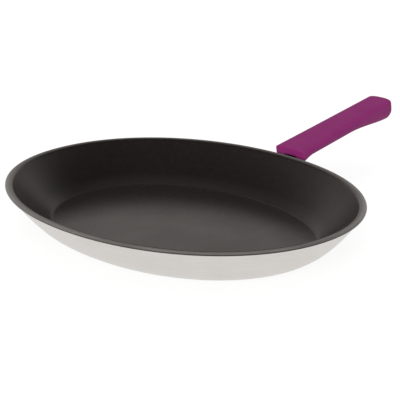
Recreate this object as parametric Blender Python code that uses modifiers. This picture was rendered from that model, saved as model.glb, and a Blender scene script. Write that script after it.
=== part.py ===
"""Oval frying pan: pressed aluminium body, dark non-stick coating, riveted steel strip handle
and a pull-off silicone grip.

Frame: metres, +Z up. The origin is the centre of the pan's flat base, so the pan stands on Z = 0.
X runs along the oval, and Y across it, towards the handle.
"""

import math

import bmesh
import bpy
from mathutils import Matrix, Vector

# Pan, over its coated rim
RIM_LENGTH = 0.360
RIM_WIDTH = 0.2905
OVAL_FULLNESS = 2.06
PAN_HEIGHT = 0.044
FLOOR_THICKNESS = 0.0053
WALL_THICKNESS = 0.004
WALL_RUN = 0.0343
WALL_HALF_TURN = math.radians(10)
BASE_CORNER_RADIUS = 0.050

# Pouring lip
LIP_WIDTH = 0.0068
LIP_SLOPE = math.radians(12)
LIP_THICKNESS = 0.0018
LIP_BEND_RADIUS = 0.002

# Coating, drawn thicker than the real film so that it can be a solid
COAT_THICKNESS = 0.0004
COAT_GAP = 0.0003

# Steel strip handle
STRIP_THICKNESS = 0.0025
STRIP_WIDTH = 0.0155
PLATE_WIDTH = 0.044
PLATE_HEIGHT = 0.023
PLATE_CORNER = 0.010
PLATE_WAIST = 0.007
PLATE_TOP_BELOW_RIM = 0.0115
BEND_RADIUS = 0.006
TANG_LENGTH = 0.120
TANG_CORNER = 0.006
TANG_BELOW_RIM = 0.0029
NECK_INTO_GRIP = 0.008
HANDLE_RISE = math.radians(10)
RIM_TO_GRIP = 0.0061

# Rivets, two above one
RIVET_SHANK_DIAMETER = 0.005
RIVET_HEAD_DIAMETER = 0.010
RIVET_HEAD_HEIGHT = 0.0026
RIVET_SUNK_DIAMETER = 0.009
RIVET_SUNK_DEPTH = 0.0018
RIVET_BELOW_SURFACE = 0.00015
RIVET_SPACING = 0.024
RIVET_ROW_DROP = 0.009
RIVET_BELOW_PLATE_TOP = 0.0075

# Silicone grip, measured above and below its widest line
GRIP_LINE_ABOVE_TANG = 0.0033
GRIP_LENGTH = 0.149
GRIP_NEAR_WIDTH = 0.0384
GRIP_MID_WIDTH = 0.0338
GRIP_FAR_WIDTH = 0.0302
GRIP_ABOVE = 0.0052
GRIP_NEAR_BELOW = 0.0070
GRIP_MID_BELOW = 0.0073
GRIP_FAR_BELOW = 0.0160
GRIP_MOUTH_EDGE = 0.0012
GRIP_MOUTH_BLEND = 0.016
GRIP_TOP_EDGE = 0.0015
GRIP_TIP_CORNER = 0.0018
GRIP_HEEL_RADIUS = 0.0084
GRIP_TIP_BOW = 0.0026
GRIP_TOP_BOXINESS = 5.1
GRIP_MOUTH_BOXINESS = 4.5
GRIP_NEAR_BOXINESS = 1.8
GRIP_FAR_BOXINESS = 3.7

# Clearances between pieces that touch on the real pan
SEAT_GAP = 0.0003
SLIDE_GAP = 0.0003
NOTCH_PAST_NECK = 0.0013

# How finely the round shapes are cut
OVAL_SEGMENTS = 72
WALL_STEPS = 5
CORNER_STEPS = 5
EDGE_STEPS = 4
BEND_STEPS = 3
STRIP_COLUMNS = 8
PLATE_STEPS = 9
RIVET_SEGMENTS = 20
GRIP_SEGMENTS = 32
BLEND_STEPS = 3
GRIP_STEPS = 10

# How far a cutter runs past the surface that it opens
CUT_PAST = 0.001

DOWN = -math.pi / 2
UP = math.pi / 2


def make_material(name, colour, roughness, metallic=0.0):
    """A Principled BSDF material with a plain colour."""
    material = bpy.data.materials.new(name)
    material.use_nodes = True
    shader = material.node_tree.nodes["Principled BSDF"]
    shader.inputs["Base Color"].default_value = (*colour, 1.0)
    shader.inputs["Roughness"].default_value = roughness
    shader.inputs["Metallic"].default_value = metallic
    material.diffuse_color = (*colour, 1.0)
    return material


def clear_scene():
    """Removes every object of the open file."""
    for obj in list(bpy.data.objects):
        bpy.data.objects.remove(obj)


def add_collection(name):
    """A new collection in the scene."""
    collection = bpy.data.collections.new(name)
    bpy.context.scene.collection.children.link(collection)
    return collection


def add_object(name, data, collection):
    """An object for this mesh, or an empty for None, in this collection."""
    obj = bpy.data.objects.new(name, data)
    collection.objects.link(obj)
    return obj


def add_cutter(name, data, collection, matrix):
    """A hidden object that only cuts others."""
    cutter = add_object(name, data, collection)
    cutter.hide_render = True
    cutter.display_type = "WIRE"
    cutter.matrix_world = matrix
    return cutter


def cut(obj, cutter):
    """Takes the cutter's shape out of the object."""
    modifier = obj.modifiers.new(f"cut_{cutter.name}", "BOOLEAN")
    modifier.operation = "DIFFERENCE"
    modifier.solver = "EXACT"
    modifier.object = cutter


def finish_mesh(bm, name, material=None):
    """The bmesh as a mesh whose faces point outwards, shaded smooth except at sharp edges."""
    bmesh.ops.recalc_face_normals(bm, faces=bm.faces)
    mesh = bpy.data.meshes.new(name)
    bm.to_mesh(mesh)
    bm.free()
    mesh.shade_smooth()
    mesh.set_sharp_from_angle(angle=math.radians(30))
    if material:
        mesh.materials.append(material)
    return mesh


def heading(slope):
    """The unit vector, outwards and up, of a line with this slope."""
    return Vector((math.cos(slope), math.sin(slope)))


def arc(centre, radius, start, end, steps):
    """Points of a circle's arc in the (across, up) plane, both ends included."""
    return [centre + radius * heading(start + (end - start) * k / steps) for k in range(steps + 1)]


def boxed(value, fullness):
    """A sine or cosine bent so that its circle becomes a fuller oval. 2 leaves it as it is."""
    return math.copysign(abs(value) ** (2 / fullness), value)


class Oval:
    """The pan's outline as seen from above, drawn in all round by some inset from its rim."""

    def __init__(self, inset):
        """Half the length and half the width that the inset leaves."""
        self.long = RIM_LENGTH / 2 - inset
        self.short = RIM_WIDTH / 2 - inset

    def point(self, cosine, sine, height):
        """The point of the outline in this direction of its circle."""
        x = self.long * boxed(cosine, OVAL_FULLNESS)
        y = self.short * boxed(sine, OVAL_FULLNESS)
        return Vector((x, y, height))

    def y_at(self, x):
        """How far out the outline lies on the handle's side, x along the oval."""
        share = abs(x / self.long) ** OVAL_FULLNESS
        return self.short * (1 - share) ** (1 / OVAL_FULLNESS)

    def outward(self, x):
        """The outline's normal there."""
        power = OVAL_FULLNESS - 1
        along = math.copysign(abs(x / self.long) ** power, x) / self.long
        across = (self.y_at(x) / self.short) ** power / self.short
        return Vector((along, across)).normalized()


def oval_at(section_point):
    """The outline through a point of the pan's section."""
    return Oval(RIM_WIDTH / 2 - section_point.x)


class PanSection:
    """The pan's wall in the plane across its short side: x is the distance from the centre, y the height.

    The inner wall is an arc that rises from the floor's crease and runs smoothly into the lip. The outer
    wall is a wall's thickness behind it, and a larger arc leads it into the base. All round the oval
    the section is the same, set in from the rim's outline.
    """

    def __init__(self):
        """Works out the arcs of the lip, the wall and the base's corner from the driving sizes."""
        cover = COAT_GAP + COAT_THICKNESS
        self.edge_radius = LIP_THICKNESS / 2
        self.edge_centre = Vector(
            (
                RIM_WIDTH / 2 - cover - self.edge_radius,
                PAN_HEIGHT - cover - self.edge_radius,
            )
        )
        self._place_lip()
        self._place_wall()
        self._place_corner()

    def _place_lip(self):
        """The lip's flat, from its rounded edge back to the bend into the wall."""
        across = heading(LIP_SLOPE + UP)
        flat = LIP_WIDTH - self.edge_radius - LIP_BEND_RADIUS
        flat_start = self.edge_centre + across * self.edge_radius - heading(LIP_SLOPE) * flat
        self.bend_centre = flat_start - across * LIP_BEND_RADIUS

    def _place_wall(self):
        """The inner wall's arc. Where it meets the bend depends on its slope there, so it is found in steps."""
        steep = math.radians(50)
        for _ in range(12):
            head = self.bend_centre + LIP_BEND_RADIUS * heading(steep + UP)
            chord = Vector((WALL_RUN, head.y - FLOOR_THICKNESS))
            steep = math.atan2(chord.y, chord.x) + WALL_HALF_TURN
        self.steep = steep
        self.shallow = steep - 2 * WALL_HALF_TURN
        self.inner_radius = chord.length / (2 * math.sin(WALL_HALF_TURN))
        self.outer_radius = self.inner_radius + WALL_THICKNESS
        self.wall_centre = head + self.inner_radius * heading(steep + UP)

    def _place_corner(self):
        """The outer arc that touches both the flat base and the outer wall."""
        reach = self.outer_radius - BASE_CORNER_RADIUS
        drop = self.wall_centre.y - BASE_CORNER_RADIUS
        base_edge = self.wall_centre.x + math.sqrt(reach**2 - drop**2)
        self.corner_centre = Vector((base_edge, BASE_CORNER_RADIUS))
        self.corner_slope = math.acos(drop / reach)

    def inner_point(self, slope):
        """The point of the bare inner wall with this slope."""
        return self.wall_centre + self.inner_radius * heading(slope + DOWN)

    def outer_point(self, slope, off):
        """The point off the bare outside, where it has this slope."""
        if slope < self.corner_slope:
            return self.corner_centre + (BASE_CORNER_RADIUS + off) * heading(slope + DOWN)
        return self.wall_centre + (self.outer_radius + off) * heading(slope + DOWN)

    def slope_at_height(self, height, off):
        """The outer wall's slope where a point off it has this height."""
        return math.acos((self.wall_centre.y - height) / (self.outer_radius + off))

    def slope_below(self, slope, off, distance):
        """The slope this distance further down, along the wall and then the base's corner."""
        wall = (self.outer_radius + off) * (slope - self.corner_slope)
        if distance <= wall:
            return slope - distance / (self.outer_radius + off)
        return self.corner_slope - (distance - wall) / (BASE_CORNER_RADIUS + off)

    def upper(self, lift):
        """The coated side, from the floor's crease up the wall and over the lip to the edge's outermost point."""
        wall = arc(
            self.wall_centre,
            self.inner_radius - lift,
            self.shallow + DOWN,
            self.steep + DOWN,
            WALL_STEPS,
        )
        level = FLOOR_THICKNESS + lift
        back = (wall[0].y - level) / math.tan(self.shallow)
        wall[0] = Vector((wall[0].x - back, level))
        bend = arc(
            self.bend_centre,
            LIP_BEND_RADIUS + lift,
            self.steep + UP,
            LIP_SLOPE + UP,
            BEND_STEPS,
        )
        edge = arc(
            self.edge_centre,
            self.edge_radius + lift,
            LIP_SLOPE + UP,
            0.0,
            EDGE_STEPS,
        )
        return wall + bend[1:] + edge

    def lower(self):
        """The bare side, from below the edge back under the lip and down the wall to the flat base."""
        edge = arc(
            self.edge_centre,
            self.edge_radius,
            0.0,
            LIP_SLOPE + DOWN,
            EDGE_STEPS,
        )
        wall = arc(
            self.wall_centre,
            self.outer_radius,
            self._slope_under_lip() + DOWN,
            self.corner_slope + DOWN,
            WALL_STEPS,
        )
        corner = arc(
            self.corner_centre,
            BASE_CORNER_RADIUS,
            self.corner_slope + DOWN,
            DOWN,
            CORNER_STEPS,
        )
        return edge[1:] + wall + corner[1:]

    def _slope_under_lip(self):
        """The slope at which the outer wall runs into the lip's underside."""
        back = -heading(LIP_SLOPE)
        start = self.edge_centre + self.edge_radius * heading(LIP_SLOPE + DOWN) - self.wall_centre
        half = start.dot(back)
        run = -half - math.sqrt(half**2 - start.length_squared + self.outer_radius**2)
        meet = start + back * run
        return math.atan2(meet.y, meet.x) - DOWN


def loft(bm, rings):
    """Skins a row of rings that have as many points each, and closes the first with a face."""
    for low, high in zip(rings, rings[1:]):
        for k in range(len(low)):
            bm.faces.new((low[k - 1], low[k], high[k], high[k - 1]))
    bm.faces.new(rings[0])


def oval_mesh(name, profile, material):
    """A solid whose section is this profile all round the oval, from one flat end to the other."""
    bm = bmesh.new()
    rings = []
    for section_point in profile:
        made = bmesh.ops.create_circle(bm, cap_ends=False, radius=1.0, segments=OVAL_SEGMENTS)
        outline = oval_at(section_point)
        for vert in made["verts"]:
            vert.co = outline.point(vert.co.x, vert.co.y, section_point.y)
        rings.append(made["verts"])
    loft(bm, rings)
    bm.faces.new(rings[-1])
    return finish_mesh(bm, name, material)


def pan_body_mesh(section, material):
    """The aluminium body, before its rivet holes."""
    return oval_mesh("pan_body", section.upper(0.0) + section.lower(), material)


def coating_mesh(section, material):
    """The coating as a thin tray over the floor, wall and lip."""
    under = section.upper(COAT_GAP)
    over = section.upper(COAT_GAP + COAT_THICKNESS)
    return oval_mesh("nonstick_coating", over + under[::-1], material)


class StripPath:
    """The steel strip's middle line in the Y-Z plane: up the wall, out under the lip, and along the grip."""

    def __init__(self, section):
        """Finds the plate's ends on the wall, the neck's slope, and the straight tang."""
        self.section = section
        self.off = SEAT_GAP + STRIP_THICKNESS / 2
        top_height = PAN_HEIGHT - PLATE_TOP_BELOW_RIM
        self.top_slope = section.slope_at_height(top_height, self.off)
        self.foot_slope = section.slope_below(self.top_slope, self.off, PLATE_HEIGHT)
        self.plate_top = section.outer_point(self.top_slope, self.off)
        self.along = heading(HANDLE_RISE)
        self.origin = Vector(
            (
                RIM_WIDTH / 2 + RIM_TO_GRIP,
                PAN_HEIGHT - TANG_BELOW_RIM,
            )
        )
        self.tang_start = self.origin + self.along * NECK_INTO_GRIP
        self.tang_end = self.origin + self.along * TANG_LENGTH
        self._place_neck()

    def _place_neck(self):
        """The neck's slope depends on where its bends begin and end, so it is found in steps."""
        slope = HANDLE_RISE
        for _ in range(12):
            low_lead = BEND_RADIUS * math.tan((self.top_slope - slope) / 2)
            high_lead = BEND_RADIUS * math.tan((slope - HANDLE_RISE) / 2)
            low_corner = self.plate_top + low_lead * heading(self.top_slope)
            high_corner = self.tang_start - high_lead * self.along
            neck = high_corner - low_corner
            slope = math.atan2(neck.y, neck.x)
        self.neck_slope = slope

    def _bend(self, start, first, last):
        """(point, half width) round a downward bend that leaves start with the first slope."""
        centre = start - BEND_RADIUS * heading(first + UP)
        points = arc(centre, BEND_RADIUS, first + UP, last + UP, BEND_STEPS)
        return [(point, STRIP_WIDTH / 2) for point in points]

    def _plate_half(self, run):
        """The plate's half width this far above its foot: round corners below, a waist into the neck above."""
        half = PLATE_WIDTH / 2
        if run < PLATE_CORNER:
            half -= PLATE_CORNER - math.sqrt(PLATE_CORNER**2 - (PLATE_CORNER - run) ** 2)
        waist = PLATE_HEIGHT - PLATE_WAIST
        if run > waist:
            share = (run - waist) / PLATE_WAIST
            half += (STRIP_WIDTH / 2 - half) * share * share * (3 - 2 * share)
        return half

    def stations(self):
        """(point, half width) from the plate's foot to the tang's end."""
        rows = []
        for k in range(PLATE_STEPS):
            run = PLATE_HEIGHT * k / PLATE_STEPS
            slope = self.section.slope_below(self.top_slope, self.off, PLATE_HEIGHT - run)
            rows.append((self.section.outer_point(slope, self.off), self._plate_half(run)))
        rows += self._bend(self.plate_top, self.top_slope, self.neck_slope)
        high_lead = BEND_RADIUS * math.tan((self.neck_slope - HANDLE_RISE) / 2)
        neck_end = self.tang_start - high_lead * (self.along + heading(self.neck_slope))
        rows += self._bend(neck_end, self.neck_slope, HANDLE_RISE)
        flat = STRIP_WIDTH / 2 - TANG_CORNER
        for k in range(BEND_STEPS + 2):
            turn = UP * k / (BEND_STEPS + 1)
            point = self.tang_end - self.along * TANG_CORNER * (1 - math.sin(turn))
            rows.append((point, flat + TANG_CORNER * math.cos(turn)))
        return rows

    def plate_follow(self, point):
        """How closely the strip follows the oval there: fully on the plate, and not at all on the tang."""
        if point.y <= self.plate_top.y:
            return 1.0
        gone = (point - self.plate_top).length / (self.tang_start - self.plate_top).length
        return max(0.0, 1.0 - gone)


def strip_mesh(path, material):
    """The strip's middle surface, bent round the oval where it lies on the wall."""
    bm = bmesh.new()
    rows = []
    for point, half in path.stations():
        outline = oval_at(point)
        follow = path.plate_follow(point)
        row = []
        for k in range(STRIP_COLUMNS + 1):
            x = half * (2 * k / STRIP_COLUMNS - 1)
            y = point.x + follow * (outline.y_at(x) - point.x)
            row.append(bm.verts.new((x, y, point.y)))
        rows.append(row)
    for low, high in zip(rows, rows[1:]):
        for k in range(STRIP_COLUMNS):
            bm.faces.new((low[k], low[k + 1], high[k + 1], high[k]))
    return finish_mesh(bm, "handle_strip", material)


def box_mesh(name, size, centre):
    """A box of this size round this centre."""
    bm = bmesh.new()
    place = Matrix.Translation(centre) @ Matrix.Diagonal((*size, 1.0))
    bmesh.ops.create_cube(bm, size=1.0, matrix=place)
    return finish_mesh(bm, name)


def profile_mesh(name, profile, material=None):
    """An open outline of (radius, height) points, from the top down, to be turned about Z."""
    bm = bmesh.new()
    verts = [bm.verts.new((radius, 0.0, height)) for radius, height in profile]
    for pair in zip(verts, verts[1:]):
        bm.edges.new(pair)
    return finish_mesh(bm, name, material)


def turn_profile(obj):
    """Turns the object's outline into a closed solid about its own Z axis."""
    screw = obj.modifiers.new("turn", "SCREW")
    screw.steps = RIVET_SEGMENTS
    screw.render_steps = RIVET_SEGMENTS
    screw.use_merge_vertices = True
    screw.merge_threshold = 0.00001


def rivet_seat(section, path, across, drop):
    """Where a rivet sits. Its origin is on the bare inner wall, and its Z axis points into the pan."""
    slope = section.slope_below(path.top_slope, path.off, drop)
    inner = section.inner_point(slope)
    outline = oval_at(inner)
    outward = outline.outward(across)
    inward = Vector(
        (
            -outward.x * math.sin(slope),
            -outward.y * math.sin(slope),
            math.cos(slope),
        )
    )
    turn = inward.to_track_quat("Z", "Y").to_matrix().to_4x4()
    return Matrix.Translation((across, outline.y_at(across), inner.y)) @ turn


def rivet_seats(section, path):
    """Two rivets side by side, and one below between them."""
    high = RIVET_BELOW_PLATE_TOP
    low = high + RIVET_ROW_DROP
    return {
        "rivet_left": rivet_seat(section, path, -RIVET_SPACING / 2, high),
        "rivet_right": rivet_seat(section, path, RIVET_SPACING / 2, high),
        "rivet_lower": rivet_seat(section, path, 0.0, low),
    }


def rivet_profile():
    """Half of a rivet's section: sunk head flush with the inner wall, shank, and domed head on the plate."""
    shank = RIVET_SHANK_DIAMETER / 2
    sunk = RIVET_SUNK_DIAMETER / 2
    dome = RIVET_HEAD_DIAMETER / 2
    face = -RIVET_BELOW_SURFACE
    seat = -(WALL_THICKNESS + 2 * SEAT_GAP + STRIP_THICKNESS)
    points = [(0.0, face), (sunk, face), (shank, -RIVET_SUNK_DEPTH), (shank, seat)]
    for k in range(EDGE_STEPS + 1):
        turn = UP * k / EDGE_STEPS
        points.append((dome * math.cos(turn), seat - RIVET_HEAD_HEIGHT * math.sin(turn)))
    points[-1] = (0.0, seat - RIVET_HEAD_HEIGHT)
    return points


def rivet_hole_profile():
    """Half of the section of the hole through wall and plate, a clearance wider than the rivet."""
    shank = RIVET_SHANK_DIAMETER / 2 + SEAT_GAP
    sunk = RIVET_SUNK_DIAMETER / 2 + SEAT_GAP
    far = -(WALL_THICKNESS + 2 * SEAT_GAP + STRIP_THICKNESS + CUT_PAST)
    return [
        (0.0, CUT_PAST),
        (sunk, CUT_PAST),
        (sunk, -RIVET_BELOW_SURFACE),
        (shank, -RIVET_SUNK_DEPTH - SEAT_GAP),
        (shank, far),
        (0.0, far),
    ]


def drawn_in(distance, radius):
    """How far a rounded edge of this radius has drawn a surface in, this far from the end."""
    if distance >= radius:
        return 0.0
    return radius - math.sqrt(radius**2 - (radius - distance) ** 2)


def grip_half_width(share):
    """The grip tapers smoothly through its near, middle and far widths."""
    near = GRIP_NEAR_WIDTH * (1 - share) * (1 - 2 * share)
    mid = GRIP_MID_WIDTH * 4 * share * (1 - share)
    far = GRIP_FAR_WIDTH * share * (2 * share - 1)
    return (near + mid + far) / 2


def grip_below(share):
    """The grip grows slowly deeper up to its middle, then swells into the heel of its far end."""
    if share < 0.5:
        return GRIP_NEAR_BELOW + (GRIP_MID_BELOW - GRIP_NEAR_BELOW) * share * 2
    far = share * 2 - 1
    ease = far * far * (3 - 2 * far)
    return GRIP_MID_BELOW + (GRIP_FAR_BELOW - GRIP_MID_BELOW) * ease


def grip_belly(along):
    """How boxy the underside is: square at the mouth, soon round, and fuller again towards the heel."""
    belly = GRIP_NEAR_BOXINESS + (GRIP_FAR_BOXINESS - GRIP_NEAR_BOXINESS) * along / GRIP_LENGTH
    blend = max(0.0, 1 - along / GRIP_MOUTH_BLEND)
    return belly + (GRIP_MOUTH_BOXINESS - belly) * blend * blend


def grip_ring(bm, along):
    """One section of the grip, this far from its mouth: flat-topped, and rounder underneath."""
    share = along / GRIP_LENGTH
    left = GRIP_LENGTH - along
    mouth = drawn_in(along, GRIP_MOUTH_EDGE)
    half = grip_half_width(share) - mouth - drawn_in(left, GRIP_TIP_CORNER)
    above = GRIP_ABOVE - mouth - drawn_in(left, GRIP_TOP_EDGE)
    below = grip_below(share) - mouth - drawn_in(left, GRIP_HEEL_RADIUS)
    belly = grip_belly(along)
    made = bmesh.ops.create_circle(bm, cap_ends=False, radius=1.0, segments=GRIP_SEGMENTS)
    for vert in made["verts"]:
        upper = vert.co.y > 0
        boxiness = GRIP_TOP_BOXINESS if upper else belly
        across = boxed(vert.co.x, boxiness)
        up = boxed(vert.co.y, boxiness)
        bow = GRIP_TIP_BOW * (across * share) ** 2
        rise = (above if upper else below) * up
        vert.co = (half * across, along - bow, GRIP_LINE_ABOVE_TANG + rise)
    return made["verts"]


def close_bowed(bm, ring):
    """Closes a bowed end with upright strips, each from the upper half of its ring down to the lower."""
    quarter = len(ring) // 4
    for k in range(-quarter, quarter):
        low = 2 * quarter - k
        corners = (ring[k], ring[k + 1], ring[low - 1], ring[low % len(ring)])
        bm.faces.new(tuple(dict.fromkeys(corners)))


def grip_mesh(material):
    """The grip's outside, along +Y from its mouth, with the strip's middle plane at Z = 0."""
    heel_start = GRIP_LENGTH - GRIP_HEEL_RADIUS
    stops = [0.0, GRIP_MOUTH_EDGE / 4, GRIP_MOUTH_EDGE]
    blend = GRIP_MOUTH_BLEND - GRIP_MOUTH_EDGE
    stops += [GRIP_MOUTH_EDGE + blend * (k + 1) / BLEND_STEPS for k in range(BLEND_STEPS)]
    body = heel_start - GRIP_MOUTH_BLEND
    stops += [GRIP_MOUTH_BLEND + body * (k + 1) / GRIP_STEPS for k in range(GRIP_STEPS)]
    for k in range(1, CORNER_STEPS + 2):
        turn = UP * k / (CORNER_STEPS + 1)
        stops.append(heel_start + GRIP_HEEL_RADIUS * math.sin(turn))
    bm = bmesh.new()
    rings = [grip_ring(bm, along) for along in stops]
    loft(bm, rings)
    close_bowed(bm, rings[-1])
    return finish_mesh(bm, "grip_sleeve", material)


def pocket_meshes():
    """The room that the grip leaves for the tang, and the notch in its mouth for the neck that rises into it."""
    width = STRIP_WIDTH + 2 * SLIDE_GAP
    depth = TANG_LENGTH + SLIDE_GAP
    notch_length = NECK_INTO_GRIP + NOTCH_PAST_NECK
    notch_depth = max(GRIP_NEAR_BELOW, GRIP_MID_BELOW) - GRIP_LINE_ABOVE_TANG + CUT_PAST
    pocket = box_mesh(
        "tang_pocket",
        (width, depth + CUT_PAST, STRIP_THICKNESS + 2 * SLIDE_GAP),
        (0.0, (depth - CUT_PAST) / 2, 0.0),
    )
    notch = box_mesh(
        "neck_notch",
        (width, notch_length + CUT_PAST, notch_depth),
        (0.0, (notch_length - CUT_PAST) / 2, -notch_depth / 2),
    )
    return pocket, notch


def add_grip(path, pieces, cutters, material):
    """The grip on an empty that marks the axis along which it pulls off."""
    axis = add_object("grip_axis", None, pieces)
    axis.location = (0.0, path.origin.x, path.origin.y)
    axis.rotation_euler = (HANDLE_RISE, 0.0, 0.0)
    bpy.context.view_layer.update()
    grip = add_object("grip_sleeve", grip_mesh(material), pieces)
    grip.parent = axis
    for data in pocket_meshes():
        cut(grip, add_cutter(f"{data.name}_cutter", data, cutters, axis.matrix_world))


def build():
    """Makes every piece of the pan."""
    clear_scene()
    pieces = add_collection("oval_frying_pan")
    cutters = add_collection("cutters")
    aluminium = make_material("satin_aluminium", (0.62, 0.60, 0.58), 0.35, 1.0)
    coating = make_material("nonstick_coating", (0.045, 0.042, 0.041), 0.55)
    steel = make_material("brushed_steel", (0.55, 0.55, 0.56), 0.3, 1.0)
    silicone = make_material("purple_silicone", (0.25, 0.035, 0.16), 0.6)

    section = PanSection()
    path = StripPath(section)
    body = add_object("pan_body", pan_body_mesh(section, aluminium), pieces)
    add_object("nonstick_coating", coating_mesh(section, coating), pieces)
    strip = add_object("handle_strip", strip_mesh(path, steel), pieces)
    solidify = strip.modifiers.new("thickness", "SOLIDIFY")
    solidify.thickness = STRIP_THICKNESS
    solidify.offset = 0.0
    solidify.use_even_offset = True

    rivet_data = profile_mesh("rivet", rivet_profile(), aluminium)
    hole_data = profile_mesh("rivet_hole", rivet_hole_profile())
    for name, seat in rivet_seats(section, path).items():
        rivet = add_object(name, rivet_data, pieces)
        rivet.matrix_world = seat
        turn_profile(rivet)
        hole = add_cutter(f"{name}_hole", hole_data, cutters, seat)
        turn_profile(hole)
        cut(body, hole)
        cut(strip, hole)
    add_grip(path, pieces, cutters, silicone)


build()
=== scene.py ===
"""Looks of an oval non-stick frying pan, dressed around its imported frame.

Lengths are in metres, unless a name ends in _mm. +X runs along the oval, +Y across it towards the
handle, and +Z up. The pan stands on Z = 0, and the grip pulls off along the tang.
"""

import logging
import math
from abc import ABC, abstractmethod
from dataclasses import dataclass, field, replace
from enum import Enum
from itertools import accumulate
from typing import Any, Iterable, NamedTuple, Sequence

import bmesh
import bpy
from mathutils import Matrix, Vector


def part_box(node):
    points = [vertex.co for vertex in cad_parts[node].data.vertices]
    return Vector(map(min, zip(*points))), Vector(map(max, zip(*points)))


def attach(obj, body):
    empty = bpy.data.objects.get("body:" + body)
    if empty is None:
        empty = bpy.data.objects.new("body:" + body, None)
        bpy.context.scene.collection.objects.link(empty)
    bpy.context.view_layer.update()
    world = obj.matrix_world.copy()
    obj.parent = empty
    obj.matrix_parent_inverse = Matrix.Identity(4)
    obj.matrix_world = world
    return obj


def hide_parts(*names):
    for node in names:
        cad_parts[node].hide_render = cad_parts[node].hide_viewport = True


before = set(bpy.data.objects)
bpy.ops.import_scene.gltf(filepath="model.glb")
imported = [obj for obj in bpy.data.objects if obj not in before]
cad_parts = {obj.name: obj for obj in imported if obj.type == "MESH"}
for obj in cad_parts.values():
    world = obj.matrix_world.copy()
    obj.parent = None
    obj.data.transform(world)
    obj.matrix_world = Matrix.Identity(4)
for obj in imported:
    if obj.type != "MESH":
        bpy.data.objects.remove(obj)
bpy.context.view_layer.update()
LOG = logging.getLogger("oval_frying_pan")

Tree = bpy.types.NodeTree
ShapeTree = bpy.types.GeometryNodeTree
Node = bpy.types.Node
Socket = bpy.types.NodeSocket
Object = bpy.types.Object

MM = 0.001
QUARTER_TURN = math.pi / 2
FULL_TURN = 4 * QUARTER_TURN
# Directions in a section, counted from straight outwards.
UP = QUARTER_TURN
DOWN = -QUARTER_TURN
SHARP_ANGLE = math.radians(35)
# How often a slope that depends on itself is worked out again.
SETTLING_ROUNDS = 12
# The fullness of a circle or a plain oval. More makes it squarer.
PLAIN_OVAL = 2.0
# Layers in a noise pattern: more where it shows, fewer where it is fine or faint.
RICH, PLAIN = 3.0, 2.0
SURFACE_MAP = "surface"
RUN_ATTRIBUTE = "run"
FACING_ATTRIBUTE = "facing"
# The colour sockets of a Mix node: its two inputs and its output.
MIX_A, MIX_B, MIX_OUT = 6, 7, 2


class Body(Enum):
    """The two bodies that the pieces ride on."""

    PAN = "pan"
    GRIP = "grip"


class Slot(Enum):
    """The record's material slots."""

    ALUMINIUM = "satin_aluminium"
    COATING = "nonstick_coating"
    STEEL = "brushed_steel"
    SILICONE = "purple_silicone"


def linear(code: str) -> tuple[float, float, float, float]:
    """Turns an sRGB hex colour into Blender's linear RGBA.

    Args:
        code: Colour such as "#88366C".

    Returns:
        Red, green, blue and a full alpha.
    """
    channels = [int(code[k : k + 2], 16) / 255 for k in (1, 3, 5)]
    red, green, blue = (c / 12.92 if c <= 0.04045 else ((c + 0.055) / 1.055) ** 2.4 for c in channels)
    return red, green, blue, 1.0


def add_node(tree: Tree, kind: str, inputs: dict[int | str, Any] | None = None, **settings: Any) -> Node:
    """Adds a node, sets its properties and feeds its inputs.

    Args:
        tree: Node tree that gets the node.
        kind: Blender's name for the type of node.
        inputs: What each input gets, by its name or index: a value, an output socket, or a node,
            which gives its first output.
        **settings: The node's own properties, such as its operation.

    Returns:
        The new node.
    """
    node = tree.nodes.new(kind)
    for name, value in settings.items():
        setattr(node, name, value)
    for key, value in (inputs or {}).items():
        if isinstance(value, Node):
            value = value.outputs[0]
        if isinstance(value, Socket):
            tree.links.new(value, node.inputs[key])
        else:
            node.inputs[key].default_value = value
    return node


def heading(slope: float) -> Vector:
    """The unit vector, outwards and up, of a line with this slope."""
    return Vector((math.cos(slope), math.sin(slope)))


def towards(azimuth: float, elevation: float) -> Vector:
    """The unit vector to a camera or lamp, its azimuth counted from the pan's front."""
    level = math.cos(elevation)
    return Vector((math.sin(azimuth) * level, -math.cos(azimuth) * level, math.sin(elevation)))


def arc(centre: Vector, radius: float, start: float, end: float, steps: int) -> list[Vector]:
    """Points along a circle's arc in a plane.

    Args:
        centre: The circle's centre.
        radius: Its radius.
        start: Direction of the first point from the centre, in radians.
        end: Direction of the last point.
        steps: How many equal steps lie between them.

    Returns:
        The points, both ends included.
    """
    return [centre + radius * heading(start + (end - start) * k / steps) for k in range(steps + 1)]


def boxed(value: float, fullness: float) -> float:
    """Bends a sine or cosine so that its circle becomes a fuller oval."""
    return math.copysign(abs(value) ** (PLAIN_OVAL / fullness), value)


def smooth(share: float) -> float:
    """Eases a share that runs from 0 to 1, so that it starts and ends level."""
    return share * share * (3 - 2 * share)


def add_object(name: str, data: bpy.types.ID | None) -> Object:
    """Puts an object in the scene.

    Args:
        name: Name of the object.
        data: Its mesh, light or camera.

    Returns:
        The new object.
    """
    made = bpy.data.objects.new(name, data)
    bpy.context.scene.collection.objects.link(made)
    return made


def mesh_of(shape: bmesh.types.BMesh, mesh: bpy.types.Mesh) -> bpy.types.Mesh:
    """Puts a bmesh with outward faces into a mesh.

    Args:
        shape: The bmesh, which is freed.
        mesh: Mesh that gets its faces.

    Returns:
        The same mesh.
    """
    bmesh.ops.recalc_face_normals(shape, faces=shape.faces)
    shape.to_mesh(mesh)
    shape.free()
    return mesh


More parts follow.
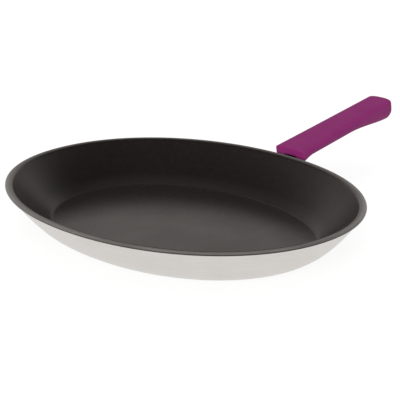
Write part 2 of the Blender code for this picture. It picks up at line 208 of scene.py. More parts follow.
def plain_mesh(source: Object, name: str) -> Object:
    """Makes a plain mesh of an object: its modifiers are applied, and its place goes into the mesh.

    Args:
        source: Object whose evaluated shape is wanted. It is removed.
        name: Name of the finished piece.

    Returns:
        A new object at the origin whose faces point outwards.
    """
    bpy.context.view_layer.update()
    evaluated = source.evaluated_get(bpy.context.evaluated_depsgraph_get())
    mesh = bpy.data.meshes.new_from_object(evaluated)
    mesh.transform(source.matrix_world)
    bpy.data.objects.remove(source)
    shape = bmesh.new()
    shape.from_mesh(mesh)
    mesh_of(shape, mesh)
    mesh.shade_smooth()
    mesh.set_sharp_from_angle(angle=SHARP_ANGLE)
    mesh.name = name
    return add_object(name, mesh)


def skin(shape: bmesh.types.BMesh, rings: Sequence[Sequence[bmesh.types.BMVert]]) -> None:
    """Joins a row of rings that have as many points each, and closes both ends.

    The first end is flat. The last may be bowed, so upright strips close it.

    Args:
        shape: Mesh that gets the faces.
        rings: The rings, each from its right side over the top and back below.
    """
    for low, high in zip(rings, rings[1:]):
        for k in range(len(low)):
            shape.faces.new((low[k - 1], low[k], high[k], high[k - 1]))
    shape.faces.new(rings[0])
    last = rings[-1]
    for k in range(len(last) // 2):
        corners = (last[k], last[k + 1], last[-k - 1], last[-k])
        shape.faces.new(tuple(dict.fromkeys(corners)))


def dress(piece: Object, body: Body, nodes: Iterable[str]) -> None:
    """Tells the frame what a finished piece rides on, and which nodes it stands for.

    Args:
        piece: The finished object.
        body: Body that carries it.
        nodes: Names of the nodes that it replaces.
    """
    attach(piece, body.value)
    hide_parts(*nodes)
    LOG.info("%s: %d faces, rides on %s", piece.name, len(piece.data.polygons), body.value)


@dataclass(frozen=True)
class Finish(ABC):
    """A surface finish, which becomes one Blender material."""

    name: str

    @abstractmethod
    def paint(self, tree: Tree) -> dict[str, Any]:
        """Adds the finish's nodes.

        Args:
            tree: The material's nodes.

        Returns:
            What they give the Principled shader, by the name of its input.
        """

    def material(self) -> bpy.types.Material:
        """Makes the material around a Principled shader.

        Returns:
            The material.
        """
        made = bpy.data.materials.new(self.name)
        made.use_nodes = True
        tree = made.node_tree
        tree.nodes.clear()
        shader = add_node(tree, "ShaderNodeBsdfPrincipled", self.paint(tree))
        add_node(tree, "ShaderNodeOutputMaterial", {"Surface": shader})
        return made


@dataclass(frozen=True)
class LinedMetal(Finish):
    """A metal worked with abrasive, whose fine lines vary its tone and its sheen.

    Real lines are hundredths of a millimetre wide. They are drawn wider, so that they show. line_mm
    is how far one reaches along each axis of the piece's surface map.
    """

    pale: str
    grey: str
    line_mm: tuple[float, float]
    line_depth_mm: float
    roughness: float
    roughness_spread: float = 0.08
    line_raggedness: float = 0.6

    def _tone(self, tree: Tree, lines: Node) -> Node:
        """How pale the metal is: as pale as its lines."""
        return lines

    def paint(self, tree: Tree) -> dict[str, Any]:
        """Lines that follow the piece's surface map, in its colour, its sheen and its bump.

        Args:
            tree: The material's nodes.

        Returns:
            What they give the Principled shader.
        """
        place = add_node(tree, "ShaderNodeUVMap", uv_map=SURFACE_MAP)
        scale = (*(1 / (size * MM) for size in self.line_mm), 1.0)
        along = add_node(tree, "ShaderNodeMapping", {"Vector": place, "Scale": scale})
        grain = {"Vector": along, "Scale": 1.0, "Detail": RICH, "Roughness": self.line_raggedness}
        lines = add_node(tree, "ShaderNodeTexNoise", grain)
        colour = add_node(
            tree,
            "ShaderNodeMix",
            {0: self._tone(tree, lines), MIX_A: linear(self.grey), MIX_B: linear(self.pale)},
            data_type="RGBA",
        )
        rough = add_node(
            tree,
            "ShaderNodeMapRange",
            {
                "Value": lines,
                "To Min": self.roughness - self.roughness_spread,
                "To Max": self.roughness + self.roughness_spread,
            },
        )
        bump = add_node(tree, "ShaderNodeBump", {"Height": lines, "Distance": self.line_depth_mm * MM})
        return {"Base Color": colour.outputs[MIX_OUT], "Roughness": rough, "Normal": bump, "Metallic": 1.0}


@dataclass(frozen=True)
class SatinAluminium(LinedMetal):
    """Pressed aluminium, satin ground round the pan: warm, pale, and soft in its reflections."""

    pale: str = "#DEDBD7"
    grey: str = "#CAC6C1"
    line_mm: tuple[float, float] = (40.0, 0.5)
    line_depth_mm: float = 0.006
    roughness: float = 0.36
    cloud_mm: float = 30.0
    cloud_share: float = 0.3
    tone_span: tuple[float, float] = (0.35, 0.95)

    def _tone(self, tree: Tree, lines: Node) -> Node:
        """How pale the metal is: its lines under soft clouds, where the grinding varied.

        Args:
            tree: The material's nodes.
            lines: The noise that draws the lines.

        Returns:
            A node that gives 0 for grey and 1 for pale.
        """
        spot = add_node(tree, "ShaderNodeTexCoord").outputs["Object"]
        slow = {"Vector": spot, "Scale": 1 / (self.cloud_mm * MM), "Detail": PLAIN}
        clouds = add_node(tree, "ShaderNodeTexNoise", slow)
        terms = {0: clouds, 1: self.cloud_share, 2: lines}
        mixed = add_node(tree, "ShaderNodeMath", terms, operation="MULTIPLY_ADD")
        low, high = self.tone_span
        return add_node(tree, "ShaderNodeMapRange", {"Value": mixed, "From Min": low, "From Max": high})


@dataclass(frozen=True)
class BrushedSteel(LinedMetal):
    """Cold-rolled stainless strip, brushed along its length: cooler and brighter than the aluminium."""

    pale: str = "#C9C9CB"
    grey: str = "#A9AAAD"
    line_mm: tuple[float, float] = (0.25, 30.0)
    line_depth_mm: float = 0.003
    roughness: float = 0.28


@dataclass(frozen=True)
class NonStickCoating(Finish):
    """Sprayed and baked fluoropolymer: almost black face on, and a soft grey sheen at a low angle.

    The floor and the lowest part of the wall are painted a shade lighter than the rest of the wall:
    painted light, where the floor is lit brighter. The lip pales to a thin grey line at its edge: a
    painted highlight along the rolled edge. The flecks are about a tenth of a millimetre in life, and
    are drawn coarser, so that they show. PanPressing sets edge_run and floor_height, which say where
    the lip's edge and the floor lie.
    """

    dark: str = "#110E0D"
    # Painted light: the floor's tone, lighter than the wall's dark because the floor is lit brighter.
    floor: str = "#242120"
    fleck: str = "#2B2725"
    # Painted highlight: the pale grey of the line along the lip's edge.
    painted_edge_highlight: str = "#938E89"
    fleck_mm: float = 0.7
    fleck_span: tuple[float, float] = (0.48, 0.75)
    peel_mm: float = 1.6
    peel_depth_mm: float = 0.012
    cloud_mm: float = 45.0
    floor_roughness: float = 0.27
    wall_roughness: float = 0.34
    lip_roughness: float = 0.18
    roughness_spread: float = 0.03
    roughness_span: tuple[float, float] = (0.25, 0.75)
    ior: float = 1.35
    edge_run: float = 0.2
    lip_mm: float = 6.0
    lip_fade_mm: float = 1.0
    edge_above_mm: float = 5.6
    edge_below_mm: float = 1.8
    edge_cover: float = 0.5
    edge_least: float = 0.6
    edge_span: tuple[float, float] = (0.3, 0.7)
    floor_height: float = 0.006
    # How far up the wall the floor's painted light fades into the wall's dark.
    painted_light_fade_mm: float = 9.0

    def _edge_highlight(self, tree: Tree, run: Socket, cloud: Node) -> Node:
        """The painted highlight along the lip's edge: strongest at the edge, and uneven.

        Args:
            tree: The material's nodes.
            run: How far a point lies along the section from the pan's centre.
            cloud: A slow noise that makes the line uneven.

        Returns:
            A node that gives 0 where no highlight is painted, up to 1 where it is brightest.
        """
        low, high = self.edge_span
        uneven = {"Value": cloud, "From Min": low, "From Max": high, "To Min": self.edge_least}
        share = add_node(tree, "ShaderNodeMapRange", uneven)
        for far, top in ((-self.edge_above_mm, self.edge_cover), (self.edge_below_mm, 1.0)):
            start = self.edge_run + far * MM
            rise = {"Value": run, "From Min": start, "From Max": self.edge_run, "To Max": top}
            side = add_node(tree, "ShaderNodeMapRange", rise, interpolation_type="SMOOTHSTEP")
            share = add_node(tree, "ShaderNodeMath", {0: share, 1: side}, operation="MULTIPLY")
        return share

    def _roughness(self, tree: Tree, run: Socket, level: Node, cloud: Node) -> Node:
        """The spray lies smooth on the floor and rougher up the wall, and hands polish the lip.

        Args:
            tree: The material's nodes.
            run: How far a point lies along the section from the pan's centre.
            level: 0 on the floor, 1 on the wall.
            cloud: A slow noise that varies it.

        Returns:
            A node that gives the roughness.
        """
        lip_start = self.edge_run - self.lip_mm * MM
        low, high = self.roughness_span
        steps = (
            {"Value": level, "To Min": self.floor_roughness, "To Max": self.wall_roughness},
            {"Value": run, "From Min": lip_start - self.lip_fade_mm * MM, "From Max": lip_start},
            {"Value": cloud, "From Min": low, "From Max": high},
        )
        sides, lip, varied = (add_node(tree, "ShaderNodeMapRange", step) for step in steps)
        tree.links.new(sides.outputs[0], lip.inputs["To Min"])
        lip.inputs["To Max"].default_value = self.lip_roughness
        varied.inputs["To Min"].default_value = -self.roughness_spread
        varied.inputs["To Max"].default_value = self.roughness_spread
        return add_node(tree, "ShaderNodeMath", {0: lip, 1: varied}, operation="ADD")

    def paint(self, tree: Tree) -> dict[str, Any]:
        """Fine flecks in the colour, the spray's orange peel as bump, and a slowly varying sheen.

        Args:
            tree: The material's nodes.

        Returns:
            What they give the Principled shader.
        """
        spot = add_node(tree, "ShaderNodeTexCoord").outputs["Object"]
        flecks, clouds, peel = (
            add_node(tree, "ShaderNodeTexNoise", {"Vector": spot, "Scale": 1 / (size * MM), "Detail": detail})
            for size, detail in ((self.fleck_mm, PLAIN), (self.cloud_mm, RICH), (self.peel_mm, PLAIN))
        )
        low, high = self.fleck_span
        flecked = add_node(tree, "ShaderNodeMapRange", {"Value": flecks, "From Min": low, "From Max": high})
        # Painted light: level is 0 on the floor and rises to 1 a few millimetres up the wall, fading the
        # floor's lighter tone into the wall's dark. The same mask sets the roughness.
        height = add_node(tree, "ShaderNodeSeparateXYZ", {0: spot}).outputs["Z"]
        fade_end = self.floor_height + self.painted_light_fade_mm * MM
        rise = {"Value": height, "From Min": self.floor_height, "From Max": fade_end}
        level = add_node(tree, "ShaderNodeMapRange", rise)
        place = add_node(tree, "ShaderNodeUVMap", uv_map=SURFACE_MAP)
        run = add_node(tree, "ShaderNodeSeparateXYZ", {0: place}).outputs["Y"]
        # Painted highlight: a pale line along the lip's edge, mixed over the coating's colour.
        edge = self._edge_highlight(tree, run, clouds)
        colour = linear(self.floor)
        for share, code in ((level, self.dark), (flecked, self.fleck), (edge, self.painted_edge_highlight)):
            tones = {0: share, MIX_A: colour, MIX_B: linear(code)}
            colour = add_node(tree, "ShaderNodeMix", tones, data_type="RGBA").outputs[MIX_OUT]
        bump = add_node(tree, "ShaderNodeBump", {"Height": peel, "Distance": self.peel_depth_mm * MM})
        rough = self._roughness(tree, run, level, clouds)
        return {"Base Color": colour, "Roughness": rough, "Normal": bump, "IOR": self.ior}


@dataclass(frozen=True)
class PurpleSilicone(Finish):
    """Moulded silicone rubber: a dense, even purple with a dry, matte face.

    The blasted mould's grain is about a tenth of a millimetre in life, and is drawn coarser.
    """

    deep: str = "#781E5E"
    light: str = "#862768"
    grain_mm: float = 0.6
    grain_depth_mm: float = 0.025
    cloud_mm: float = 22.0
    roughness: float = 0.6
    ior: float = 1.41
    specular: float = 0.25

    def paint(self, tree: Tree) -> dict[str, Any]:
        """Faint clouds in the colour, and the mould's blasted grain as bump.

        Args:
            tree: The material's nodes.

        Returns:
            What they give the Principled shader.
        """
        spot = add_node(tree, "ShaderNodeTexCoord").outputs["Object"]
        clouds, grain = (
            add_node(tree, "ShaderNodeTexNoise", {"Vector": spot, "Scale": 1 / (size * MM), "Detail": detail})
            for size, detail in ((self.cloud_mm, RICH), (self.grain_mm, PLAIN))
        )
        tones = {0: clouds, MIX_A: linear(self.deep), MIX_B: linear(self.light)}
        raised = {"Height": grain, "Distance": self.grain_depth_mm * MM}
        return {
            "Base Color": add_node(tree, "ShaderNodeMix", tones, data_type="RGBA").outputs[MIX_OUT],
            "Normal": add_node(tree, "ShaderNodeBump", raised),
            "Roughness": self.roughness,
            "IOR": self.ior,
            "Specular IOR Level": self.specular,
        }


class LoftInput(Enum):
    """Names of the inputs of the Geometry Nodes trees."""

    SECTION = "Section"
    HALF_LENGTH = "Half Length"
    HALF_WIDTH = "Half Width"
    FULLNESS = "Fullness"
    SEGMENTS = "Segments"
    SEATS = "Seats"
    FINISH = "Finish"


def new_tree(name: str, kinds: dict[LoftInput, str]) -> tuple[ShapeTree, dict[LoftInput, Socket]]:
    """Starts a Geometry Nodes tree.

    Args:
        name: Name of the tree.
        kinds: Kind of socket for each named input.

    Returns:
        The tree, and the socket inside it that gives each input.
    """
    tree = bpy.data.node_groups.new(name, "GeometryNodeTree")
    tree.is_modifier = True
    for label, kind in kinds.items():
        tree.interface.new_socket(label.value, in_out="INPUT", socket_type=f"NodeSocket{kind}")
    tree.interface.new_socket("Geometry", in_out="OUTPUT", socket_type="NodeSocketGeometry")
    given = add_node(tree, "NodeGroupInput").outputs
    return tree, {label: given[label.value] for label in kinds}


def end_tree(tree: ShapeTree, geometry: Node, finish: Socket) -> None:
    """Ends a Geometry Nodes tree: real faces, no instances, all in one finish.

    Args:
        tree: The tree.
        geometry: Node that gives the finished shape.
        finish: Socket that gives its material.
    """
    real = add_node(tree, "GeometryNodeRealizeInstances", {0: geometry})
    finished = add_node(tree, "GeometryNodeSetMaterial", {"Geometry": real, "Material": finish})
    add_node(tree, "NodeGroupOutput", {0: finished})


def grown(source: Object, tree: ShapeTree, values: dict[LoftInput, Any], name: str) -> Object:
    """Runs a Geometry Nodes tree on an object.

    Args:
        source: The object, which is removed.
        tree: The tree.
        values: What its inputs get. They are set by their identifiers, before the first evaluation.
        name: Name of the finished piece.

    Returns:
        The result as a plain mesh.
    """
    modifier = source.modifiers.new(tree.name, "NODES")
    modifier.node_group = tree
    sockets = tree.interface.items_tree
    identifiers = {item.name: item.identifier for item in sockets if item.in_out == "INPUT"}
    for label, value in values.items():
        modifier[identifiers[label.value]] = value
    return plain_mesh(source, name)


class RoundLoft:
    """Geometry Nodes that carry a section round an oval outline.

    Each point of the section holds how far outside the outline it runs, the share of the outline's
    size that it spreads to, and its height. A share of 0 closes the skin in one point.
    """

    WELD = 1e-6
    GRID = 1.0

    def __init__(self) -> None:
        """Builds the tree once, for every piece that uses it."""
        self.tree, self.given = new_tree(
            "round_loft",
            {
                LoftInput.SECTION: "Geometry",
                LoftInput.HALF_LENGTH: "Float",
                LoftInput.HALF_WIDTH: "Float",
                LoftInput.FULLNESS: "Float",
                LoftInput.SEGMENTS: "Int",
                LoftInput.FINISH: "Material",
            },
        )
        self._build()

    def _build(self) -> None:
        """Lays a grid, one row for each section point, and bends it round the outline."""
        tree, given = self.tree, self.given
        section = given[LoftInput.SECTION]
        counted = add_node(tree, "GeometryNodeAttributeDomainSize", {0: section}, component="MESH")
        count = counted.outputs["Point Count"]
        # One column more than there are segments: the last lies on the first, and is welded to it.
        columns = add_node(tree, "ShaderNodeMath", {0: given[LoftInput.SEGMENTS], 1: 1.0}, operation="ADD")
        sides = {"Size X": self.GRID, "Size Y": self.GRID, "Vertices X": count, "Vertices Y": columns}
        grid = add_node(tree, "GeometryNodeMeshGrid", sides)
        spot = add_node(tree, "GeometryNodeInputPosition")
        share = add_node(tree, "ShaderNodeSeparateXYZ", {0: spot})
        last = add_node(tree, "ShaderNodeMath", {0: count, 1: 1.0}, operation="SUBTRACT")
        # The turn starts a quarter round, so that the seam lies on the handle's side.
        spans = {
            "X": {"To Min": 0.0, "To Max": last},
            "Y": {"To Min": QUARTER_TURN, "To Max": QUARTER_TURN + FULL_TURN},
        }
        row, turn = (
            add_node(
                tree,
                "ShaderNodeMapRange",
                {"Value": share.outputs[axis], "From Min": -self.GRID / 2, "From Max": self.GRID / 2, **span},
            )
            for axis, span in spans.items()
        )
        index = add_node(tree, "ShaderNodeMath", {0: row}, operation="ROUND")
        sampled = add_node(
            tree,
            "GeometryNodeSampleIndex",
            {"Geometry": section, "Value": spot, "Index": index},
            data_type="FLOAT_VECTOR",
            domain="POINT",
        )
        point = add_node(tree, "ShaderNodeSeparateXYZ", {0: sampled}).outputs
        fullness = given[LoftInput.FULLNESS]
        # The outline is a superellipse: a cosine and a sine to this power, which keep their signs.
        exponent = add_node(tree, "ShaderNodeMath", {0: PLAIN_OVAL, 1: fullness}, operation="DIVIDE")
        place = {"Z": point["Z"]}
        for axis, half, wave in (("X", LoftInput.HALF_LENGTH, "COSINE"), ("Y", LoftInput.HALF_WIDTH, "SINE")):
            swing = add_node(tree, "ShaderNodeMath", {0: turn}, operation=wave)
            size = add_node(tree, "ShaderNodeMath", {0: swing}, operation="ABSOLUTE")
            side = add_node(tree, "ShaderNodeMath", {0: swing}, operation="SIGN")
            fuller = add_node(tree, "ShaderNodeMath", {0: size, 1: exponent}, operation="POWER")
            signed = add_node(tree, "ShaderNodeMath", {0: fuller, 1: side}, operation="MULTIPLY")
            reach = add_node(tree, "ShaderNodeMath", {0: given[half], 1: point["X"]}, operation="ADD")
            spread = add_node(tree, "ShaderNodeMath", {0: reach, 1: point["Y"]}, operation="MULTIPLY")
            place[axis] = add_node(tree, "ShaderNodeMath", {0: spread, 1: signed}, operation="MULTIPLY")
        bent = add_node(tree, "ShaderNodeCombineXYZ", place)
        mapped = self._surface_map(grid, index, turn)
        moved = add_node(tree, "GeometryNodeSetPosition", {"Geometry": mapped, "Position": bent})
        welded = add_node(tree, "GeometryNodeMergeByDistance", {"Geometry": moved, "Distance": self.WELD})
        end_tree(tree, welded, given[LoftInput.FINISH])

    def _surface_map(self, mesh: Node, index: Node, turn: Node) -> Node:
        """Stores a map in metres: round the outline, and along the section.

        Args:
            mesh: The flat grid.
            index: Which section point a corner belongs to.
            turn: How far round the outline it lies, in radians.

        Returns:
            A node that gives the grid with the map on its corners.
        """
        tree, given = self.tree, self.given
        run = add_node(tree, "GeometryNodeInputNamedAttribute", {"Name": RUN_ATTRIBUTE}, data_type="FLOAT")
        gone = add_node(
            tree,
            "GeometryNodeSampleIndex",
            {"Geometry": given[LoftInput.SECTION], "Value": run, "Index": index},
            data_type="FLOAT",
            domain="POINT",
        )
        halves = {0: given[LoftInput.HALF_LENGTH], 1: given[LoftInput.HALF_WIDTH]}
        both = add_node(tree, "ShaderNodeMath", halves, operation="ADD")
        mean = add_node(tree, "ShaderNodeMath", {0: both, 1: 0.5}, operation="MULTIPLY")
        around = add_node(tree, "ShaderNodeMath", {0: turn, 1: mean}, operation="MULTIPLY")
        place = add_node(tree, "ShaderNodeCombineXYZ", {"X": around, "Y": gone})
        return add_node(
            tree,
            "GeometryNodeStoreNamedAttribute",
            {"Geometry": mesh, "Name": SURFACE_MAP, "Value": place},
            data_type="FLOAT2",
            domain="CORNER",
        )


class Station(NamedTuple):
    """A section point: metres outside the outline, share of the outline's size, and height."""

    offset: float
    spread: float
    height: float


def lengths(points: Sequence[Vector]) -> list[float]:
    """How far each point lies along a line through all of them."""
    return list(accumulate(((here - before).length for before, here in zip(points, points[1:])), initial=0.0))


def runs_along(stations: Sequence[Station], half_width: float) -> list[float]:
    """How far each station lies along its section, which is carried round an outline of this half width."""
    return lengths([Vector(((half_width + stop.offset) * stop.spread, stop.height)) for stop in stations])


def section_object(name: str, stations: Sequence[Station], half_width: float) -> Object:
    """An object whose vertices are a section's points, for the loft to carry round.

    Args:
        name: Name of the object.
        stations: The section, from one pole to the other.
        half_width: Half the outline's width, to measure how long the section runs.

    Returns:
        The object, with the run along the section stored on its points.
    """
    mesh = bpy.data.meshes.new(name)
    mesh.from_pydata([tuple(station) for station in stations], [], [])
    run = mesh.attributes.new(RUN_ATTRIBUTE, "FLOAT", "POINT")
    run.data.foreach_set("value", runs_along(stations, half_width))
    return add_object(name, mesh)


@dataclass
class PanSection:
    """The pan's wall across its short side: x is the distance from the centre, y the height.

    All round the oval the section is the same, set in from the rim's outline. The coating's painted
    highlight line at the lip's edge follows the point that edge_from_end counts back from where the
    coating ends.
    """

    rim_length: float
    rim_width: float
    height: float
    fullness: float = 2.06
    floor_thickness: float = 0.0053
    wall_thickness: float = 0.004
    wall_run: float = 0.0343
    wall_half_turn: float = math.radians(10)
    steep_guess: float = math.radians(50)
    base_corner: float = 0.050
    crease_radius: float = 0.008
    lip_width: float = 0.0068
    lip_slope: float = math.radians(12)
    lip_thickness: float = 0.0018
    lip_bend: float = 0.002
    cover: float = 0.0007
    wrap: float = math.radians(42)
    edge_from_end: int = 9
    crease_steps: int = 6
    inner_steps: int = 16
    lip_bend_steps: int = 8
    lip_edge_steps: int = 14
    fold_steps: int = 4
    outer_steps: int = 18
    base_steps: int = 14
    edge_radius: float = field(init=False)
    edge_centre: Vector = field(init=False)
    bend_centre: Vector = field(init=False)
    wall_centre: Vector = field(init=False)
    steep: float = field(init=False)
    inner_radius: float = field(init=False)

    def __post_init__(self) -> None:
        """Works out the arcs of the lip's edge, the bend and the wall."""
        self.edge_radius = self.lip_thickness / 2
        across = heading(self.lip_slope + UP)
        edge_x = self.rim_width / 2 - self.cover - self.edge_radius
        self.edge_centre = Vector((edge_x, self.height - self.cover - self.edge_radius))
        flat = self.lip_width - self.edge_radius - self.lip_bend
        flat_start = self.edge_centre + across * self.edge_radius - heading(self.lip_slope) * flat
        self.bend_centre = flat_start - across * self.lip_bend
        steep = self.steep_guess
        for _ in range(SETTLING_ROUNDS):
            head = self.bend_centre + self.lip_bend * heading(steep + UP)
            chord = Vector((self.wall_run, head.y - self.floor_thickness))
            steep = math.atan2(chord.y, chord.x) + self.wall_half_turn
        self.steep = steep
        self.inner_radius = chord.length / (2 * math.sin(self.wall_half_turn))
        self.wall_centre = head + self.inner_radius * heading(steep + UP)

    @property
    def outer_radius(self) -> float:
        """Radius of the outer wall's arc."""
        return self.inner_radius + self.wall_thickness

    def meet_level(self, wall_radius: float, round_radius: float, level: float) -> tuple[Vector, float]:
        """The arc that leads from a level line into the wall.

        Args:
            wall_radius: Radius of the wall's arc.
            round_radius: Radius of the arc that leads into it.
            level: Height of the level line.

        Returns:
            Centre of the leading arc, and the slope at which it meets the wall.
        """
        reach = wall_radius - round_radius
        drop = self.wall_centre.y - level - round_radius
        start = self.wall_centre.x + math.sqrt(reach**2 - drop**2)
        return Vector((start, level + round_radius)), math.acos(drop / reach)

    def upper(self, lift: float) -> list[Vector]:
        """The food side, from the floor's crease out and round the lip's edge.

        Args:
            lift: How far it lies off the bare metal.

        Returns:
            The points.
        """
        level = self.floor_thickness + lift
        wall_radius = self.inner_radius - lift
        centre, slope = self.meet_level(wall_radius, self.crease_radius, level)
        crease = arc(centre, self.crease_radius, DOWN, slope + DOWN, self.crease_steps)
        wall = arc(self.wall_centre, wall_radius, slope + DOWN, self.steep + DOWN, self.inner_steps)
        lip = self.lip_slope + UP
        bend = arc(self.bend_centre, self.lip_bend + lift, self.steep + UP, lip, self.lip_bend_steps)
        edge = arc(self.edge_centre, self.edge_radius + lift, lip, -self.wrap, self.lip_edge_steps)
        return crease + wall[1:] + bend + edge

    def lower(self, lift: float) -> list[Vector]:
        """The bare side, from where the coating ends under the edge, down the wall and into the base.

        Args:
            lift: How far the edge stands off the bare metal.

        Returns:
            The points, down to the flat base.
        """
        last = self.lip_slope + DOWN
        edge = arc(self.edge_centre, self.edge_radius + lift, -self.wrap, last, self.fold_steps)[1:]
        centre, slope = self.meet_level(self.outer_radius, self.base_corner, 0.0)
        start = self._slope_under_lip() + DOWN
        wall = arc(self.wall_centre, self.outer_radius, start, slope + DOWN, self.outer_steps)
        corner = arc(centre, self.base_corner, slope + DOWN, DOWN, self.base_steps)
        return edge + wall + corner[1:]

    def _slope_under_lip(self) -> float:
        """The slope at which the outer wall runs into the lip's underside.

        Returns:
            The slope, in radians.
        """
        back = -heading(self.lip_slope)
        under = self.edge_centre + self.edge_radius * heading(self.lip_slope + DOWN)
        start = under - self.wall_centre
        half = start.dot(back)
        run = -half - math.sqrt(half**2 - start.length_squared + self.outer_radius**2)
        meet = start + back * run
        return math.atan2(meet.y, meet.x) - DOWN

    def inner_point(self, slope: float) -> Vector:
        """The point of the bare inner wall with this slope."""
        return self.wall_centre + self.inner_radius * heading(slope + DOWN)

    def outer_point(self, slope: float, off: float) -> Vector:
        """A point off the outside, on the wall or on the base's corner.

        Args:
            slope: The outside's slope there.
            off: How far the point stands off it.

        Returns:
            The point.
        """
        centre, corner_slope = self.meet_level(self.outer_radius, self.base_corner, 0.0)
        if slope < corner_slope:
            return centre + (self.base_corner + off) * heading(slope + DOWN)
        return self.wall_centre + (self.outer_radius + off) * heading(slope + DOWN)

    def slope_at_height(self, height: float, off: float) -> float:
        """The outer wall's slope where a point off it has this height."""
        return math.acos((self.wall_centre.y - height) / (self.outer_radius + off))

    def slope_below(self, slope: float, off: float, distance: float) -> float:
        """The slope further down, along the wall and then the base's corner.

        Args:
            slope: The slope at the start.
            off: How far off the outside the way runs.
            distance: How long it is.

        Returns:
            The slope at its end.
        """
        _, corner_slope = self.meet_level(self.outer_radius, self.base_corner, 0.0)
        wall = (self.outer_radius + off) * (slope - corner_slope)
        if distance <= wall:
            return slope - distance / (self.outer_radius + off)
        return corner_slope - (distance - wall) / (self.base_corner + off)

    def oval_y(self, point: Vector, x: float) -> float:
        """How far out the outline through a section point lies on the handle's side.

        Args:
            point: The section point.
            x: How far along the oval to look.

        Returns:
            The outline's Y.
        """
        inset = self.rim_width / 2 - point.x
        share = abs(x / (self.rim_length / 2 - inset)) ** self.fullness
        return point.x * (1 - share) ** (1 / self.fullness)

    def outward(self, point: Vector, x: float) -> Vector:
        """The normal, seen from above, of the outline through a section point.

        Args:
            point: The section point.
            x: How far along the oval to look.

        Returns:
            The unit normal.
        """
        long = self.rim_length / 2 - (self.rim_width / 2 - point.x)
        power = self.fullness - 1
        along = math.copysign(abs(x / long) ** power, x) / long
        across = (self.oval_y(point, x) / point.x) ** power / point.x
        return Vector((along, across)).normalized()


@dataclass
class PanPressing:
    """The pressed aluminium pan and its coating, both carried round the oval by the loft."""

    section: PanSection
    loft: RoundLoft
    segments: int = 288
    film: float = 0.00012
    floor_shares: tuple[float, ...] = (0.0, 0.1, 0.25, 0.4, 0.55, 0.7, 0.82, 0.92)

    def _stations(self, points: Sequence[Vector]) -> list[Station]:
        """The points of a section as the loft wants them."""
        return [Station(point.x - self.section.rim_width / 2, 1.0, point.y) for point in points]

    def _to_centre(self, rim: Station) -> list[Station]:
        """Level rings that shrink from the centre out to this station."""
        return [Station(rim.offset, share, rim.height) for share in self.floor_shares]

    def _lofted(self, name: str, stations: Sequence[Station], finish: Finish) -> Object:
        """Carries a section round the oval.

        Args:
            name: Name of the piece.
            stations: Its section, from pole to pole.
            finish: Its finish.

        Returns:
            The piece as a plain mesh.
        """
        values = {
            LoftInput.HALF_LENGTH: self.section.rim_length / 2,
            LoftInput.HALF_WIDTH: self.section.rim_width / 2,
            LoftInput.FULLNESS: self.section.fullness,
            LoftInput.SEGMENTS: self.segments,
            LoftInput.FINISH: finish.material(),
        }
        source = section_object(f"{name}_section", stations, self.section.rim_width / 2)
        return grown(source, self.loft.tree, values, name)

    def shell(self, finish: Finish) -> Object:
        """The aluminium, thickened to meet the film that lies on it.

        Args:
            finish: Its finish.

        Returns:
            The finished piece.
        """
        lift = self.section.cover - self.film
        top = self._stations(self.section.upper(lift))
        bottom = self._stations(self.section.lower(lift))
        under = self._to_centre(bottom[-1])
        return self._lofted("pan_shell", self._to_centre(top[0]) + top + bottom + under[::-1], finish)

    def coating(self, finish: NonStickCoating) -> Object:
        """The coating as a film that wraps the lip's edge.

        Args:
            finish: Its finish, which is told where that edge and the floor lie.

        Returns:
            The finished piece.
        """
        over = self._stations(self.section.upper(self.section.cover))
        under = self._stations(self.section.upper(self.section.cover - self.film))
        top = self._to_centre(over[0]) + over
        low = self._to_centre(under[0])
        edge = runs_along(top, self.section.rim_width / 2)[-self.section.edge_from_end]
        told = replace(finish, edge_run=edge, floor_height=over[0].height)
        return self._lofted("coating_skin", top + under[::-1] + low[::-1], told)


